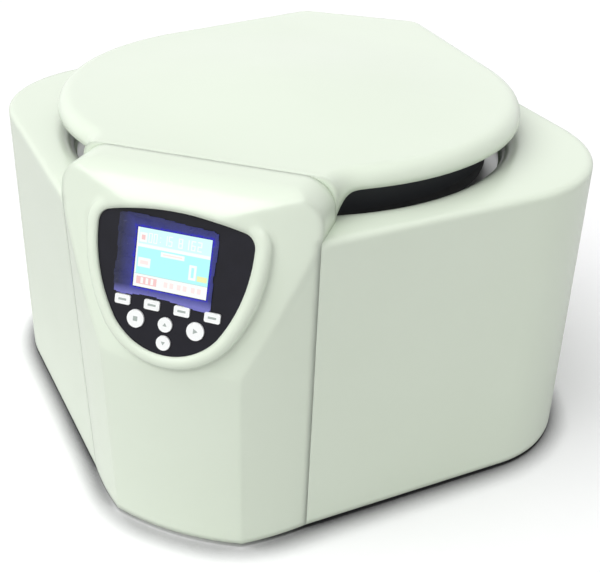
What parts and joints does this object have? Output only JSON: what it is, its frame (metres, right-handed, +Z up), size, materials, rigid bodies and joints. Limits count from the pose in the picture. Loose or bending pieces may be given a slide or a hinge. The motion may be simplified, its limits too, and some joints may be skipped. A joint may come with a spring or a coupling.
{
  "type": "oil test centrifuge",
  "caption": "Bench centrifuge for oil tests: round hinged lid over a steel bowl with a swing-out rotor, and a tilted control panel with a screen and keys on a raised front fascia.",
  "frame": {"origin": "on the bench under the middle of the overall box, on the rotor's axis", "axes": "+Z up along the rotor's axis, -Y towards the control panel, +X to the right seen from the front"},
  "size_m": [0.6544, 0.6439, 0.362],
  "materials": {
    "ivory_abs": "moulded gloss",
    "black_panel": "moulded satin",
    "screen": "lit screen glass",
    "screen_metal": "stamped can",
    "film": "thin clear film over a dark border",
    "board": "coated circuit board",
    "white_key": "moulded satin",
    "dark_liner": "moulded fine texture",
    "rubber": "moulded",
    "steel": "machined",
    "stainless": "spun and brushed",
    "heater": "silicone mat",
    "painted_steel": "powder coated",
    "motor": "painted casting",
    "zinc": "zinc plated",
    "cast_aluminium": "machined and anodised",
    "ivory_steel": "powder coated sheet",
    "black_plastic": "moulded",
    "brass": "plated blades"
  },
  "bodies": {
    "frame": {"body_shell": "ivory_abs", "nose_fascia": "ivory_abs", "control_panel": "black_panel", "screen_film": "film", "screen_glass": "screen", "screen_module": "screen_metal", "key_board": "board", "panel_posts": "black_plastic", "hinge_blocks": "cast_aluminium", "hinge_pins": "steel", "bowl": "stainless", "heater_band": "heater", "guard_ring": "painted_steel", "shaft_seal": "rubber", "motor": "motor", "motor_plate": "zinc", "dampers": "rubber", "damper_posts": "zinc", "base_pan": "zinc", "feet": "rubber", "pan_screws": "zinc", "drive_board": "board", "board_standoffs": "zinc", "mains_filter": "zinc", "rear_panel": "ivory_steel", "rear_panel_screws": "zinc", "mains_inlet": "black_plastic", "inlet_pins": "brass", "switch_housing": "black_plastic", "lock_housing": "black_plastic", "lock_actuator": "zinc", "lock_bracket": "zinc"},
    "lid": {"lid_shell": "ivory_abs", "lid_liner": "dark_liner", "lid_seal": "rubber", "hinge_arms": "cast_aluminium", "lid_striker": "steel"},
    "rotor": {"rotor_shaft": "steel", "rotor_cross": "cast_aluminium", "rotor_nut": "black_plastic", "trunnion_pins": "steel"},
    "rocker": {"power_rocker": "black_plastic"},
    "bolt": {"lock_bolt": "steel"},
    "bucket_1": {"cup_1": "stainless", "cushion_1": "rubber"},
    "bucket_2": {"cup_2": "stainless", "cushion_2": "rubber"},
    "bucket_3": {"cup_3": "stainless", "cushion_3": "rubber"},
    "bucket_4": {"cup_4": "stainless", "cushion_4": "rubber"},
    "soft_key_1_body": {"soft_key_1": "white_key"},
    "soft_key_2_body": {"soft_key_2": "white_key"},
    "soft_key_3_body": {"soft_key_3": "white_key"},
    "soft_key_4_body": {"soft_key_4": "white_key"},
    "large_key_left_body": {"large_key_left": "white_key"},
    "large_key_right_body": {"large_key_right": "white_key"},
    "small_key_upper_body": {"small_key_upper": "white_key"},
    "small_key_lower_body": {"small_key_lower": "white_key"}
  },
  "joints": [
    {"name": "lid_hinge", "type": "hinge", "parent": "frame", "child": "lid", "pos_m": [0, 0.296, 0.3285], "axis": [-1, 0, 0], "range_deg": [0, 75]},
    {"name": "rotor_spin", "type": "hinge", "parent": "frame", "child": "rotor", "pos_m": [0, 0, 0.257], "axis": [0, 0, 1], "continuous": true},
    {"name": "rocker_tilt", "type": "hinge", "parent": "frame", "child": "rocker", "pos_m": [0.03, 0.3125, 0.07], "axis": [1, 0, 0], "range_deg": [0, 20]},
    {"name": "bolt_slide", "type": "slide", "parent": "frame", "child": "bolt", "axis": [0, 1, 0], "range_m": [0, 0.008]},
    {"name": "cup_swing_1", "type": "hinge", "parent": "rotor", "child": "bucket_1", "pos_m": [0.0495, 0.0495, 0.257], "axis": [0.7071, -0.7071, 0], "range_deg": [0, 90]},
    {"name": "cup_swing_2", "type": "hinge", "parent": "rotor", "child": "bucket_2", "pos_m": [-0.0495, 0.0495, 0.257], "axis": [0.7071, 0.7071, 0], "range_deg": [0, 90]},
    {"name": "cup_swing_3", "type": "hinge", "parent": "rotor", "child": "bucket_3", "pos_m": [-0.0495, -0.0495, 0.257], "axis": [-0.7071, 0.7071, 0], "range_deg": [0, 90]},
    {"name": "cup_swing_4", "type": "hinge", "parent": "rotor", "child": "bucket_4", "pos_m": [0.0495, -0.0495, 0.257], "axis": [-0.7071, -0.7071, 0], "range_deg": [0, 90]},
    {"name": "soft_key_1_press", "type": "slide", "parent": "frame", "child": "soft_key_1_body", "axis": [0, 0.9397, -0.342], "range_m": [0, 0.001], "stiffness_N_per_m": 600},
    {"name": "soft_key_2_press", "type": "slide", "parent": "frame", "child": "soft_key_2_body", "axis": [0, 0.9397, -0.342], "range_m": [0, 0.001], "stiffness_N_per_m": 600},
    {"name": "soft_key_3_press", "type": "slide", "parent": "frame", "child": "soft_key_3_body", "axis": [0, 0.9397, -0.342], "range_m": [0, 0.001], "stiffness_N_per_m": 600},
    {"name": "soft_key_4_press", "type": "slide", "parent": "frame", "child": "soft_key_4_body", "axis": [0, 0.9397, -0.342], "range_m": [0, 0.001], "stiffness_N_per_m": 600},
    {"name": "large_key_left_press", "type": "slide", "parent": "frame", "child": "large_key_left_body", "axis": [0, 0.9397, -0.342], "range_m": [0, 0.001], "stiffness_N_per_m": 600},
    {"name": "large_key_right_press", "type": "slide", "parent": "frame", "child": "large_key_right_body", "axis": [0, 0.9397, -0.342], "range_m": [0, 0.001], "stiffness_N_per_m": 600},
    {"name": "small_key_upper_press", "type": "slide", "parent": "frame", "child": "small_key_upper_body", "axis": [0, 0.9397, -0.342], "range_m": [0, 0.001], "stiffness_N_per_m": 600},
    {"name": "small_key_lower_press", "type": "slide", "parent": "frame", "child": "small_key_lower_body", "axis": [0, 0.9397, -0.342], "range_m": [0, 0.001], "stiffness_N_per_m": 600}
  ]
}
